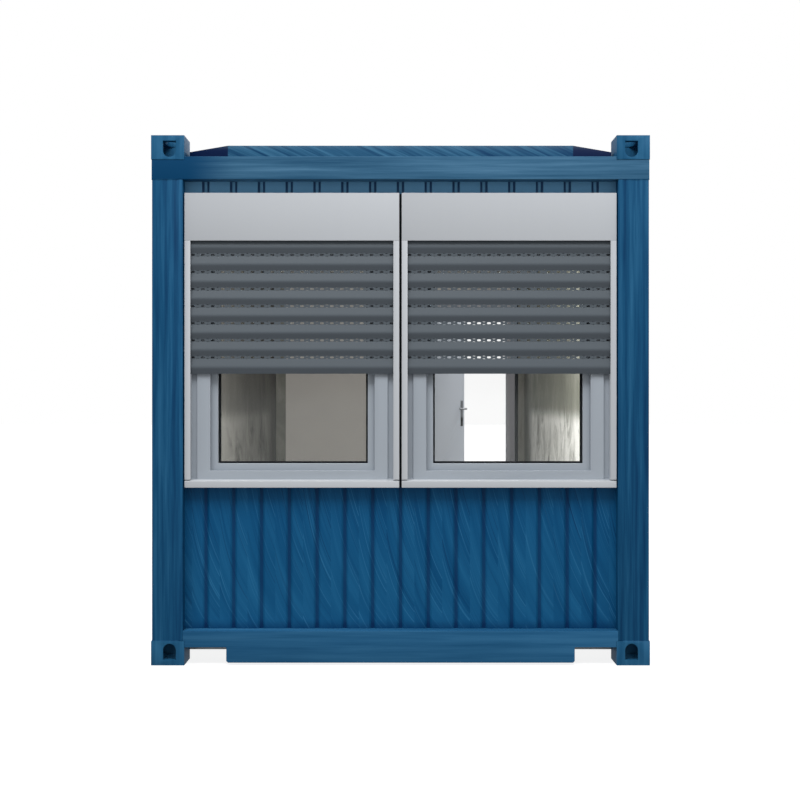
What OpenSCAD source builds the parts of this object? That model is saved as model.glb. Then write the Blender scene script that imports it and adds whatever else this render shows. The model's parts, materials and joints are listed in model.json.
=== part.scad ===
// Twenty-foot site office: a steel-framed container cabin with corner castings, profiled
// cladding, two shuttered windows in the front gable (+X) and a door in the rear gable (-X).
// Millimetres, +Z up, origin at the centre of the footprint on the castings' undersides.

/* [Body] */
// Overall length over the castings
body_l = 6058; // [4800:1:9200]
// Overall width over the castings
body_w = 2438; // [2300:1:3000]
// Overall height over the castings
body_h = 2591; // [2500:1:3200]

/* [Corner castings] */
// Casting length, along the body
casting_l = 178; // [170:1:190]
// Casting width, across the body
casting_w = 162; // [150:1:175]
// Casting height
casting_h = 118; // [112:1:130]
// Thickness of the plate round the main aperture
casting_plate = 26.5; // [20:0.5:32]
// Thickness of the outer walls
casting_wall = 16; // [12:1:22]
// Thickness of the walls that face the body
casting_inner_wall = 12; // [8:1:16]
// Distance of the main aperture's centre from the end face
aperture_end = 102.5; // [96:0.5:108]
// Distance of the main aperture's centre from the side face
aperture_side = 89.5; // [84:0.5:95]
// Length of the main aperture
aperture_l = 124; // [110:1:130]
// Width of every aperture
aperture_w = 63.5; // [50:0.5:66]

/* [Frame] */
// Corner post width, seen from the gable
post_w = 150; // [120:1:180]
// Inset of the posts' faces behind the castings' faces
post_inset = 4; // [1:1:8]
// Inset of the rails' faces behind the castings' faces
rail_inset = 2; // [1:1:6]
// Wall thickness of posts and rails
steel_t = 4; // [3:0.5:8]
// Width of the long side rails
side_rail_w = 64; // [55:1:90]
// Distance from the top of the castings down to the underside of the top rails
top_rail_drop = 215; // [190:1:240]
// Height of the gutter lip above the castings' undersides
gutter_lip_h = 15; // [8:1:25]
// Top of the bottom rails above the ground
sill_top = 168; // [150:1:200]
// Ground clearance of the bottom rails
sill_clearance = 12.5; // [6:0.5:20]
// Length of the notch at each end of a gable sill
notch_l = 205; // [120:1:260]
// Height of that notch
notch_h = 75; // [40:1:90]
// Chamfer at the notch's lower inner corner
notch_chamfer = 8; // [3:1:15]

/* [Roof] */
// Distance of the roof pan's end behind the gable face
pan_end_gap = 100; // [80:1:130]
// Half width of the roof pan less than the side of the body
pan_side_gap = 174; // [165:1:220]
// Height of the pan's edge below the top of the castings
pan_edge_drop = 64; // [50:1:80]
// Height of the pan's crown below the top of the castings
pan_crown_drop = 32; // [20:1:45]
// Run of the slope from the pan's edge to its crown
pan_slope_run = 189; // [100:1:300]
// Thickness of the roof sheet
roof_sheet_t = 3; // [2:0.5:6]
// Lap of the flat gutter sheets on the long top rails
gutter_lap = 40; // [10:1:50]
// Thickness of the ceiling board
ceiling_t = 16; // [10:1:25]
// Height of the ceiling above the underside of the top rails
ceiling_rise = 34; // [10:1:60]

/* [Floor] */
// Depth of the insulated floor cassette
cassette_h = 100; // [80:1:120]
// Thickness of the floor board
floor_board_t = 22; // [15:1:28]
// Thickness of the floor covering
floor_cover_t = 3; // [2:0.5:5]

/* [Walls] */
// Thickness of the long wall panels, insulation and lining together
side_panel_t = 42; // [35:1:60]
// Thickness of the gable wall panels
gable_panel_t = 90; // [70:1:110]
// Thickness of the boards that hide the posts inside the room
corner_board_t = 6; // [4:1:12]
// Pitch of the cladding's grooves
groove_pitch = 137.5; // [100:0.5:200]
// Width of a groove at its mouth
groove_mouth = 34; // [20:1:50]
// Width of a groove at its bottom
groove_bottom = 16; // [8:1:30]
// Depth of the cladding's grooves
groove_depth = 10; // [6:1:20]
// Thickness of the cladding sheet
cladding_t = 2; // [1:0.5:3]

/* [Windows] */
// Height of the windows' lower edge above the ground
window_sill_z = 867; // [700:1:1000]
// Height of the wall strip over the shutter boxes
window_head_h = 64; // [40:1:100]
// Width of the joint strips beside and between the windows
joint_w = 12; // [8:1:20]
// Height of the shutter boxes
shutter_box_h = 234; // [180:1:260]
// Depth of the shutter boxes
shutter_box_d = 170; // [150:1:220]
// Setback of the shutter boxes and guides behind the gable face
guide_setback = 18; // [5:1:30]
// Width of a shutter guide
guide_w = 29; // [25:1:45]
// Depth of a shutter guide in front of the window frame
guide_d = 36; // [28:1:50]
// Height of the outer window sill's face
sill_face_h = 39; // [25:1:60]
// Depth of the window frame
window_frame_d = 80; // [60:1:90]
// Width of the frame from the unit's edge to its opening
window_frame_w = 122; // [100:1:140]
// Height of the frame's bottom member
window_foot_h = 82; // [70:1:100]
// Height of the frame's top member
window_top_h = 70; // [50:1:90]
// Width of the frame's recessed outer edge, past the guide
frame_step_w = 27; // [15:1:30]
// Depth of that recess
frame_step_d = 15; // [8:1:25]
// Width of the sash that shows inside the frame
sash_show = 34; // [25:1:50]
// Overlap of the sash behind the frame
sash_lap = 13; // [8:1:20]
// Setback of the sash's face behind the frame's face
sash_setback = 32; // [20:1:40]
// Thickness of the glazing unit
glass_t = 24; // [16:1:32]
// Setback of the glass behind the sash's face
glass_setback = 30; // [15:1:40]

/* [Roller shutters] */
// Cover height of one slat
slat_pitch = 84; // [50:1:100]
// Thickness of a slat
slat_t = 10; // [6:1:14]
// Number of whole slats that hang below the box
slat_count = 7; // [2:1:12]
// Part of the top slat that the box hides
slat_hidden = 9; // [0:1:40]
// Height of the bottom bar
bottom_bar_h = 73; // [40:1:90]
// Play of the curtain in its guides
curtain_play = 1; // [0.5:0.5:2]

/* [Door] */
// Clear width of the doorway
door_clear_w = 811; // [700:1:900]
// Clear height of the doorway above the floor
door_clear_h = 1982; // [1900:1:2050]
// Distance of the doorway's hinge side from the middle of the gable
door_offset = 175; // [100:1:220]
// Width of the door frame's members
door_frame_w = 70; // [50:1:90]
// Height of the threshold above the bottom rail
threshold_h = 10; // [6:1:20]
// Distance by which the door frame stands proud of the wall panel on each side
door_frame_proud = 8; // [4:1:20]
// Thickness of the door leaf
leaf_t = 40; // [35:1:60]
// Lap of the leaf over the doorway's edges
leaf_lap = 10; // [6:1:16]
// Clearance all round the leaf
leaf_gap = 5; // [4:0.5:8]
// Angle at which the door stands open
door_open_angle = 59; // [0:1:100]

/* [Door hardware] */
// Radius of a hinge knuckle
knuckle_r = 9; // [7:0.5:12]
// Height of a hinge, both knuckles together
hinge_h = 110; // [80:1:140]
// Radius of the hinge pin
pin_r = 5; // [4:0.5:6]
// Radial clearance of the pin
pin_play = 0.3; // [0.2:0.1:0.5]
// Height of the lever above the ground
lever_z = 1210; // [1100:1:1300]
// Distance of the lever's spindle from the leaf's free edge
lever_backset = 55; // [45:1:80]
// Length of the lever's grip
lever_l = 125; // [100:1:150]
// Radius of the lever's grip
lever_r = 9; // [7:0.5:12]
// Stand-off of the lever's grip from the leaf
lever_standoff = 52; // [40:1:65]
// Height of a lock plate
lock_plate_h = 250; // [200:1:280]
// Width of a lock plate
lock_plate_w = 40; // [30:1:50]

/* [Hidden] */
$fn = 48;

frame_blue = [0.10, 0.32, 0.47];
trim_grey = [0.71, 0.73, 0.75];
slat_grey = [0.36, 0.39, 0.42];
lining_grey = [0.72, 0.71, 0.68];
cut = 1; // reach of a cutting shape past the face it opens

x_end = body_l / 2;
y_side = body_w / 2;
x_cast = x_end - casting_l;
y_cast = y_side - casting_w;

// Faces of the frame
x_rail = x_end - rail_inset;
y_rail = y_side - rail_inset;
x_post = x_end - post_inset;
y_post = y_side - post_inset;
x_room = x_cast; // inner face of both gables, in line with the castings
y_post_in = y_post - post_w;
y_rail_in = y_rail - side_rail_w;
top_rail_z = body_h - top_rail_drop;
cast_under_z = body_h - casting_h;
ceiling_z = top_rail_z + ceiling_rise;

// Walls
y_panel_in = y_rail_in + 2;
y_panel_out = y_panel_in + side_panel_t;
x_panel_out = x_room + gable_panel_t;
cladding_depth = groove_depth + cladding_t;

// Roof pan
pan_x = x_end - pan_end_gap;
pan_y = y_side - pan_side_gap;
pan_edge_z = body_h - pan_edge_drop;
pan_crown_z = body_h - pan_crown_drop;

// Windows: a unit is measured from its outer lower corner
window_top_z = top_rail_z - window_head_h;
unit_w = y_post_in - joint_w;
unit_y = joint_w / 2;
x_guide = x_end - guide_setback;
x_frame = x_guide - guide_d;
box_z = window_top_z - shutter_box_h;
sash_x = x_frame - sash_setback;
glass_x = sash_x - glass_setback;
sash_d = 54;
glass_edge = window_frame_w + sash_show;
glass_low = window_sill_z + window_foot_h + sash_show;
glass_high = box_z - window_top_h - sash_show;
curtain_x = x_frame + (guide_d - slat_t) / 2;
slot_d = 22;
curtain_inset = guide_w - slot_d + curtain_play;
curtain_low = box_z - slat_count * slat_pitch - bottom_bar_h + slat_hidden;

// Doorway
door_y0 = door_offset;
door_y1 = door_offset + door_clear_w;
door_sill_z = sill_top + threshold_h;
door_top_z = min(sill_top + door_clear_h, top_rail_z - door_frame_w - 40);
door_frame_y0 = door_y0 - door_frame_w;
door_frame_top = door_top_z + door_frame_w;
x_door_out = -x_panel_out - 18; // outer face of the door frame
x_door_in = -x_room + door_frame_proud;
rebate_d = leaf_t + leaf_gap - 3;
rebate_y = leaf_lap + leaf_gap;
x_stop = x_door_out + rebate_d;

// Leaf, in its closed position
leaf_x1 = x_stop - leaf_gap;
leaf_x0 = leaf_x1 - leaf_t;
leaf_y0 = door_y0 - leaf_lap;
leaf_y1 = door_y1 + leaf_lap;
leaf_z0 = door_sill_z + leaf_gap + 1;
leaf_z1 = door_top_z + leaf_lap;
hinge_x = leaf_x0 - 12;
hinge_y = leaf_y0 - leaf_gap;
hinge_z = [leaf_z0 + 180, (leaf_z0 + leaf_z1) / 2, leaf_z1 - 180];
hinge_plate = [38, 4];
lever_y = leaf_y1 - lever_backset;
lock_plate_t = 4;
spindle_r = 4.5;
spindle_hole_r = 6;
cylinder_drop = 110;

// A block between two corners
module block(low, high) {
    translate(low)
        cube(high - low);
}

// Copies the children to all four corners of the footprint
module at_corners() {
    for (mx = [0, 1], my = [0, 1])
        mirror([mx, 0, 0])
            mirror([0, my, 0])
                children();
}

// A slot along X, cut through Z from the origin
module slot_x(length, width, height) {
    for (side = [-1, 1])
        translate([side * (length - width) / 2, 0, 0])
            cylinder(d = width, h = height);
    translate([-(length - width) / 2, -width / 2, 0])
        cube([length - width, width, height]);
}

// An upright arch, flat below and round above, cut through Z
module arch(width, height, depth) {
    translate([0, height - width / 2, 0])
        cylinder(d = width, h = depth);
    translate([-width / 2, 0, 0])
        cube([width, height - width / 2, depth]);
}

// One bottom casting in the +X +Y corner
module casting() {
    arch_h = casting_h - casting_plate - casting_inner_wall;
    difference() {
        block([x_cast, y_cast, 0], [x_end, y_side, casting_h]);
        block([x_cast + casting_inner_wall, y_cast + casting_inner_wall, casting_plate],
              [x_end - casting_wall, y_side - casting_wall, casting_h - casting_inner_wall]);
        translate([x_end - aperture_end, y_side - aperture_side, -cut])
            slot_x(aperture_l, aperture_w, casting_plate + 2 * cut);
        translate([x_end - casting_wall - cut, y_side - aperture_side, casting_plate])
            rotate([90, 0, 90])
                arch(aperture_w, arch_h, casting_wall + 2 * cut);
        translate([x_end - aperture_end, y_side + cut, casting_plate])
            rotate([90, 0, 0])
                arch(aperture_w, arch_h, casting_wall + 2 * cut);
    }
}

module bottom_corner_castings() {
    color(frame_blue)
        at_corners()
            casting();
}

module top_corner_castings() {
    color(frame_blue)
        at_corners()
            translate([0, 0, body_h])
                mirror([0, 0, 1])
                    casting();
}

module corner_posts() {
    color(frame_blue)
        at_corners()
            difference() {
                block([x_room, y_post_in, casting_h], [x_post, y_post, top_rail_z]);
                block([x_room + steel_t, y_post_in + steel_t, casting_h - cut],
                      [x_post - steel_t, y_post - steel_t, top_rail_z + cut]);
            }
}

// A gable's top rail, with a gutter lip between the castings
module header() {
    color(frame_blue) {
        difference() {
            block([x_room, -y_rail, top_rail_z], [x_rail, y_rail, cast_under_z]);
            block([x_room + steel_t, -y_rail - cut, top_rail_z + steel_t],
                  [x_rail - steel_t, y_rail + cut, cast_under_z - steel_t]);
        }
        block([x_rail - steel_t, -y_cast, cast_under_z - steel_t / 2],
              [x_rail, y_cast, cast_under_z + gutter_lip_h]);
    }
}

module front_header() { header(); }

module rear_header() { mirror([1, 0, 0]) header(); }

// A long side's top rail, between the headers
module top_rail() {
    color(frame_blue) {
        difference() {
            block([-x_room, y_rail_in, top_rail_z], [x_room, y_rail, cast_under_z]);
            block([-x_room - cut, y_rail_in + steel_t, top_rail_z + steel_t],
                  [x_room + cut, y_rail - steel_t, cast_under_z - steel_t]);
        }
        block([-x_cast, y_rail - steel_t, cast_under_z - steel_t / 2],
              [x_cast, y_rail, cast_under_z + gutter_lip_h]);
    }
}

module right_top_rail() { top_rail(); }

module left_top_rail() { mirror([0, 1, 0]) top_rail(); }

// The notch at the +Y end of a gable sill, with its inner lower corner cut off
module sill_notch() {
    translate([x_room - cut, 0, 0])
        rotate([90, 0, 90])
            linear_extrude(x_end - x_room + 2 * cut)
                polygon([
                    [y_cast + cut, sill_clearance - cut],
                    [y_cast + cut, sill_clearance + notch_h],
                    [y_cast - notch_l, sill_clearance + notch_h],
                    [y_cast - notch_l, sill_clearance + notch_chamfer],
                    [y_cast - notch_l - notch_chamfer - cut, sill_clearance - cut]
                ]);
}

// A gable's bottom rail: a box section between the castings and, above them, the posts
module gable_sill() {
    color(frame_blue)
        difference() {
            union() {
                block([x_room, -y_cast, sill_clearance], [x_rail, y_cast, sill_top]);
                block([x_room, -y_post_in, casting_h], [x_rail, y_post_in, sill_top]);
            }
            block([x_room + steel_t, -y_post_in - cut, sill_clearance + steel_t],
                  [x_rail - steel_t, y_post_in + cut, sill_top - steel_t]);
            sill_notch();
            mirror([0, 1, 0])
                sill_notch();
        }
}

module front_sill() { gable_sill(); }

module rear_sill() { mirror([1, 0, 0]) gable_sill(); }

// A long side's bottom rail
module bottom_rail() {
    color(frame_blue)
        difference() {
            block([-x_room, y_rail_in, sill_clearance], [x_room, y_rail, sill_top]);
            block([-x_room - cut, y_rail_in + steel_t, sill_clearance + steel_t],
                  [x_room + cut, y_rail - steel_t, sill_top - steel_t]);
        }
}

module right_bottom_rail() { bottom_rail(); }

module left_bottom_rail() { mirror([0, 1, 0]) bottom_rail(); }

// Galvanised underside, joists and insulation as one slab
module floor_cassette() {
    z0 = sill_top - floor_board_t - cassette_h;
    color([0.55, 0.57, 0.58])
        block([-x_room, -y_rail_in, z0], [x_room, y_rail_in, z0 + cassette_h]);
}

module floor_board() {
    color([0.62, 0.50, 0.36])
        block([-x_room, -y_rail_in, sill_top - floor_board_t], [x_room, y_rail_in, sill_top]);
}

module floor_covering() {
    color([0.45, 0.46, 0.47])
        difference() {
            block([-x_room, -y_rail_in, sill_top], [x_room, y_rail_in, sill_top + floor_cover_t]);
            block([-x_room - cut, door_frame_y0, sill_top - cut],
                  [x_door_in, y_post_in, sill_top + floor_cover_t + cut]);
        }
}

// Outline of the raised roof pan across the body, drawn in by a distance
function pan_outline(inset) = [
    [-pan_y + inset, cast_under_z],
    [-pan_y + inset, pan_edge_z - inset],
    [-pan_y + pan_slope_run, pan_crown_z - inset],
    [pan_y - pan_slope_run, pan_crown_z - inset],
    [pan_y - inset, pan_edge_z - inset],
    [pan_y - inset, cast_under_z]
];

module along_x(x0, x1) {
    translate([x0, 0, 0])
        rotate([90, 0, 90])
            linear_extrude(x1 - x0)
                children();
}

// Raised sheet with closed ends, and a flat gutter from each edge on to the long top rails
module roof_sheet() {
    color(frame_blue) {
        difference() {
            along_x(-pan_x, pan_x)
                polygon(pan_outline(0));
            along_x(-pan_x + roof_sheet_t, pan_x - roof_sheet_t)
                polygon(pan_outline(roof_sheet_t));
        }
        for (flip = [0, 1])
            mirror([0, flip, 0])
                block([-x_cast, pan_y - roof_sheet_t, cast_under_z],
                      [x_cast, y_rail_in + gutter_lap, cast_under_z + roof_sheet_t]);
    }
}

module roof_insulation() {
    color([0.85, 0.80, 0.55]) {
        block([-x_room, -y_rail_in, ceiling_z + ceiling_t], [x_room, y_rail_in, cast_under_z]);
        along_x(-pan_x + roof_sheet_t, pan_x - roof_sheet_t)
            polygon(pan_outline(roof_sheet_t));
    }
}

module ceiling_panel() {
    color("white")
        block([-x_room, -y_rail_in, ceiling_z], [x_room, y_rail_in, ceiling_z + ceiling_t]);
}

// The path of a profiled sheet's face: wide flanges outward, narrow grooves inward
function groove_path(span, lift) =
    let (n = floor((span / 2 - groove_mouth) / groove_pitch))
    concat(
        [[-span / 2, groove_depth + lift]],
        [for (k = [-n : n], p = [
            [-groove_mouth / 2, groove_depth], [-groove_bottom / 2, 0],
            [groove_bottom / 2, 0], [groove_mouth / 2, groove_depth]
        ]) [k * groove_pitch + p[0], p[1] + lift]],
        [[span / 2, groove_depth + lift]]
    );

function reversed(list) = [for (i = [len(list) - 1 : -1 : 0]) list[i]];

// An upright profiled sheet along X; its grooves touch the plane Y = 0 and it faces +Y
module profiled_sheet(span, height) {
    linear_extrude(height)
        polygon(concat(groove_path(span, 0), reversed(groove_path(span, cladding_t))));
}

module side_cladding() {
    color(frame_blue)
        translate([0, y_panel_out, sill_top])
            profiled_sheet(2 * x_room, top_rail_z - sill_top);
}

module right_wall_cladding() { side_cladding(); }

module left_wall_cladding() { mirror([0, 1, 0]) side_cladding(); }

// Sheet on a gable between two heights, facing +X
module gable_cladding(z0, z1) {
    translate([x_panel_out, 0, z0])
        rotate([0, 0, -90])
            profiled_sheet(2 * y_post_in, z1 - z0);
}

module front_wall_cladding() {
    color(frame_blue) {
        gable_cladding(sill_top, window_sill_z);
        gable_cladding(window_top_z, top_rail_z);
    }
}

module rear_wall_cladding() {
    color(frame_blue)
        difference() {
            mirror([1, 0, 0])
                gable_cladding(sill_top, top_rail_z);
            block([-x_end, door_frame_y0, sill_top - cut], [-x_room, y_post_in + cut, door_frame_top]);
        }
}

module side_panel() {
    color(lining_grey)
        block([-x_room, y_panel_in, sill_top], [x_room, y_panel_out, top_rail_z]);
}

module right_wall_panel() { side_panel(); }

module left_wall_panel() { mirror([0, 1, 0]) side_panel(); }

module front_wall_panel() {
    color(lining_grey) {
        block([x_room, -y_post_in, sill_top], [x_panel_out, y_post_in, window_sill_z]);
        block([x_room, -y_post_in, window_top_z], [x_panel_out, y_post_in, top_rail_z]);
    }
}

module rear_wall_panel() {
    color(lining_grey)
        block([-x_panel_out, -y_post_in, sill_top], [-x_room, door_frame_y0, top_rail_z]);
}

module rear_wall_head() {
    color(lining_grey)
        block([-x_panel_out, door_frame_y0, door_frame_top], [-x_room, y_post_in, top_rail_z]);
}

// Narrow boards inside the room that hide the corner posts
module corner_linings() {
    color(lining_grey)
        at_corners()
            block([x_room - corner_board_t, y_post_in, sill_top + floor_cover_t],
                  [x_room, y_panel_in, top_rail_z]);
}

// Places a window piece: the children are drawn for the +Y unit, from its inner edge at Y = 0
module window_side(name) {
    if (name == "right")
        translate([0, unit_y, 0])
            children();
    else
        mirror([0, 1, 0])
            translate([0, unit_y, 0])
                children();
}

module shutter_box(side) {
    t = 3;
    play = 6;
    color(trim_grey)
        window_side(side)
            difference() {
                block([x_guide - shutter_box_d, 0, box_z], [x_guide, unit_w, window_top_z]);
                block([x_guide - shutter_box_d + t, t, box_z + t],
                      [x_guide - t, unit_w - t, window_top_z - t]);
                block([curtain_x - play, guide_w - slot_d, box_z - cut],
                      [curtain_x + slat_t + play, unit_w - guide_w + slot_d, box_z + t + cut]);
            }
}

// Two channels whose slots hold the curtain's edges
module shutter_guides(side) {
    color(trim_grey)
        window_side(side)
            for (edge = [0, 1])
                translate([0, edge * unit_w, 0])
                    mirror([0, edge, 0])
                        difference() {
                            block([x_frame, 0, window_sill_z + sill_face_h], [x_guide, guide_w, box_z]);
                            block([curtain_x - curtain_play, guide_w - slot_d, window_sill_z],
                                  [curtain_x + slat_t + curtain_play, guide_w + cut, box_z + cut]);
                        }
}

module shutter_curtain(side) {
    color(slat_grey)
        window_side(side)
            block([curtain_x, curtain_inset, curtain_low],
                  [curtain_x + slat_t, unit_w - curtain_inset, box_z + 3]);
}

// Fixed frame with a recessed outer edge and a rebate for the sash
module window_frame(side) {
    step = guide_w + frame_step_w;
    color(trim_grey)
        window_side(side)
            difference() {
                block([x_frame - window_frame_d, 0, window_sill_z], [x_frame, unit_w, box_z]);
                block([x_frame - window_frame_d - cut, window_frame_w, window_sill_z + window_foot_h],
                      [x_frame + cut, unit_w - window_frame_w, box_z - window_top_h]);
                block([x_frame - window_frame_d - cut, window_frame_w - sash_lap - 1,
                       window_sill_z + window_foot_h - sash_lap - 1],
                      [sash_x, unit_w - window_frame_w + sash_lap + 1,
                       box_z - window_top_h + sash_lap + 1]);
                for (y = [guide_w, unit_w - step])
                    block([x_frame - frame_step_d, y, window_sill_z + sill_face_h],
                          [x_frame + cut, y + frame_step_w, box_z + cut]);
            }
}

module window_sash(side) {
    color(trim_grey)
        window_side(side)
            difference() {
                block([sash_x - sash_d, window_frame_w - sash_lap,
                       window_sill_z + window_foot_h - sash_lap],
                      [sash_x, unit_w - window_frame_w + sash_lap, box_z - window_top_h + sash_lap]);
                block([sash_x - sash_d - cut, glass_edge, glass_low],
                      [sash_x + cut, unit_w - glass_edge, glass_high]);
            }
}

module window_glass(side) {
    color([0.75, 0.85, 0.85, 0.4])
        window_side(side)
            block([glass_x - glass_t, glass_edge, glass_low],
                  [glass_x, unit_w - glass_edge, glass_high]);
}

module left_shutter_box() { shutter_box("left"); }
module right_shutter_box() { shutter_box("right"); }
module left_shutter_guides() { shutter_guides("left"); }
module right_shutter_guides() { shutter_guides("right"); }
module left_shutter_curtain() { shutter_curtain("left"); }
module right_shutter_curtain() { shutter_curtain("right"); }
module left_window_frame() { window_frame("left"); }
module right_window_frame() { window_frame("right"); }
module left_window_sash() { window_sash("left"); }
module right_window_sash() { window_sash("right"); }
module left_window_glass() { window_glass("left"); }
module right_window_glass() { window_glass("right"); }

// A sill profile under each window, falling outward
module window_sills() {
    fall = 6;
    color(trim_grey)
        for (side = ["left", "right"])
            window_side(side)
                rotate([-90, 0, 0])
                    mirror([0, 1, 0])
                        linear_extrude(unit_w)
                            polygon([
                                [x_frame, window_sill_z],
                                [x_guide, window_sill_z],
                                [x_guide, window_sill_z + sill_face_h - fall],
                                [x_frame + 2, window_sill_z + sill_face_h],
                                [x_frame, window_sill_z + sill_face_h]
                            ]);
}

// Dark strips that close the joints between windows and posts
module window_joint_strips() {
    x0 = x_frame - window_frame_d;
    color([0.12, 0.13, 0.14]) {
        block([x0, -joint_w / 2, window_sill_z], [x_frame, joint_w / 2, window_top_z]);
        for (side = [-1, 1])
            translate([0, side * (y_post_in - joint_w / 4), 0])
                block([x0, -joint_w / 4, window_sill_z], [x_frame, joint_w / 4, window_top_z]);
    }
}

module door_frame() {
    color(trim_grey)
        difference() {
            block([x_door_out, door_frame_y0, sill_top], [x_door_in, y_post_in, door_frame_top]);
            block([x_door_out - cut, door_y0, door_sill_z], [x_door_in + cut, door_y1, door_top_z]);
            block([x_door_out - cut, door_y0 - rebate_y, door_sill_z],
                  [x_stop, door_y1 + rebate_y, door_top_z + rebate_y]);
        }
}

// Lower knuckles and pins, welded to the door frame
module door_hinge_pins() {
    color("silver")
        for (z = hinge_z)
            translate([hinge_x, hinge_y, z - hinge_h / 2]) {
                cylinder(r = knuckle_r, h = hinge_h / 2);
                cylinder(r = pin_r, h = hinge_h - 8);
                block([0, -knuckle_r, 0], [x_door_out - hinge_x, -3, hinge_h / 2]);
                block([x_door_out - hinge_x - hinge_plate[1], -hinge_plate[0], 0],
                      [x_door_out - hinge_x, -3, hinge_h / 2]);
            }
}

// Turns the door's pieces about the hinge from closed to where the door stands
module door_swing() {
    translate([hinge_x, hinge_y, 0])
        rotate([0, 0, door_open_angle])
            translate([-hinge_x, -hinge_y, 0])
                children();
}

module door_leaf() {
    color(trim_grey)
        door_swing()
            difference() {
                block([leaf_x0, leaf_y0, leaf_z0], [leaf_x1, leaf_y1, leaf_z1]);
                translate([leaf_x0 - cut, lever_y, lever_z])
                    rotate([0, 90, 0])
                        cylinder(r = spindle_hole_r, h = leaf_t + 2 * cut);
            }
}

// Upper knuckles, screwed to the leaf
module door_hinge_knuckles() {
    lift = hinge_h / 2 + 1;
    color("silver")
        door_swing()
            for (z = hinge_z)
                translate([hinge_x, hinge_y, z - hinge_h / 2])
                    difference() {
                        union() {
                            translate([0, 0, lift])
                                cylinder(r = knuckle_r, h = hinge_h - lift);
                            block([0, 6, lift], [leaf_x0 - hinge_x, knuckle_r, hinge_h]);
                            block([leaf_x0 - hinge_x - hinge_plate[1], 6, lift],
                                  [leaf_x0 - hinge_x, hinge_plate[0], hinge_h]);
                        }
                        translate([0, 0, lift - cut])
                            cylinder(r = pin_r + pin_play, h = hinge_h - lift - 6 + cut);
                    }
}

// A plate and a lock cylinder on each face of the leaf
module door_lock_plates() {
    color("silver")
        door_swing()
            for (face = [0, 1])
                translate([face ? leaf_x1 : leaf_x0 - lock_plate_t, lever_y, lever_z])
                    difference() {
                        union() {
                            block([0, -lock_plate_w / 2, -lock_plate_h * 0.68],
                                  [lock_plate_t, lock_plate_w / 2, lock_plate_h * 0.32]);
                            translate([face ? 0 : -8, 0, -cylinder_drop])
                                rotate([0, 90, 0])
                                    cylinder(r = 10, h = lock_plate_t + 8);
                        }
                        translate([-cut, 0, 0])
                            rotate([0, 90, 0])
                                cylinder(r = spindle_hole_r, h = lock_plate_t + 2 * cut);
                    }
}

// Two grips on one spindle
module door_lever() {
    reach = lock_plate_t + 0.5;
    color("silver")
        door_swing()
            translate([0, lever_y, lever_z]) {
                translate([leaf_x0 - lever_standoff, 0, 0])
                    rotate([0, 90, 0])
                        cylinder(r = spindle_r, h = leaf_t + 2 * lever_standoff);
                for (x = [[leaf_x1 + reach, leaf_x1 + lever_standoff],
                          [leaf_x0 - lever_standoff, leaf_x0 - reach]])
                    translate([x[0], 0, 0])
                        rotate([0, 90, 0])
                            cylinder(r = lever_r, h = x[1] - x[0]);
                for (x = [leaf_x0 - lever_standoff, leaf_x1 + lever_standoff])
                    translate([x, 0, 0]) {
                        sphere(r = lever_r);
                        rotate([90, 0, 0])
                            cylinder(r = lever_r, h = lever_l);
                        translate([0, -lever_l, 0])
                            sphere(r = lever_r);
                    }
            }
}

bottom_corner_castings();
top_corner_castings();
corner_posts();
front_header();
rear_header();
left_top_rail();
right_top_rail();
front_sill();
rear_sill();
left_bottom_rail();
right_bottom_rail();
floor_cassette();
floor_board();
floor_covering();
roof_sheet();
roof_insulation();
ceiling_panel();
left_wall_cladding();
right_wall_cladding();
front_wall_cladding();
rear_wall_cladding();
left_wall_panel();
right_wall_panel();
front_wall_panel();
rear_wall_panel();
rear_wall_head();
corner_linings();
left_shutter_box();
left_shutter_guides();
left_shutter_curtain();
left_window_frame();
left_window_sash();
left_window_glass();
right_shutter_box();
right_shutter_guides();
right_shutter_curtain();
right_window_frame();
right_window_sash();
right_window_glass();
window_sills();
window_joint_strips();
door_frame();
door_hinge_pins();
door_leaf();
door_hinge_knuckles();
door_lock_plates();
door_lever();
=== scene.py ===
import json
import math

import bmesh
import bpy
import numpy as np
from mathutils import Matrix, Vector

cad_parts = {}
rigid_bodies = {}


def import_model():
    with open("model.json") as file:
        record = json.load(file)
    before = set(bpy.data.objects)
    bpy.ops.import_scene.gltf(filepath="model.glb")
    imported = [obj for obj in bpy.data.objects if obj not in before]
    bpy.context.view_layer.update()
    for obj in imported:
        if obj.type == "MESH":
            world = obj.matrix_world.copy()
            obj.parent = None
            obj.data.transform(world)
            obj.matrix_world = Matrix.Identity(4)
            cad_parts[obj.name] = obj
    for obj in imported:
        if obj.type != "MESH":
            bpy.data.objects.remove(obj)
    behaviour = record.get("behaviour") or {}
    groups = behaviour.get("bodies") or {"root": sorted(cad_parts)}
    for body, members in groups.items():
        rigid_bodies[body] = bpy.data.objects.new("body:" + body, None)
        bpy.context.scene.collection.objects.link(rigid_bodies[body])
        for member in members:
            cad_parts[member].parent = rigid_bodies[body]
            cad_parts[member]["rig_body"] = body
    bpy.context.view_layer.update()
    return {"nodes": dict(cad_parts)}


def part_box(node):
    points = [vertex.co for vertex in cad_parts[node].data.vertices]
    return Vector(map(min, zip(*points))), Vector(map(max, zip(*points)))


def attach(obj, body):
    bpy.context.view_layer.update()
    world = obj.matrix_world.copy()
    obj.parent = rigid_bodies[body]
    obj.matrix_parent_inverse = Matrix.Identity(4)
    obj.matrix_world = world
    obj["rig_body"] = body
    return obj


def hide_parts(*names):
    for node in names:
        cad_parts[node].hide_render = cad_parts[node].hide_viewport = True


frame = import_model()
nodes = frame["nodes"]
scene = bpy.context.scene
print("frame loaded:", len(nodes), "nodes")

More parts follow.
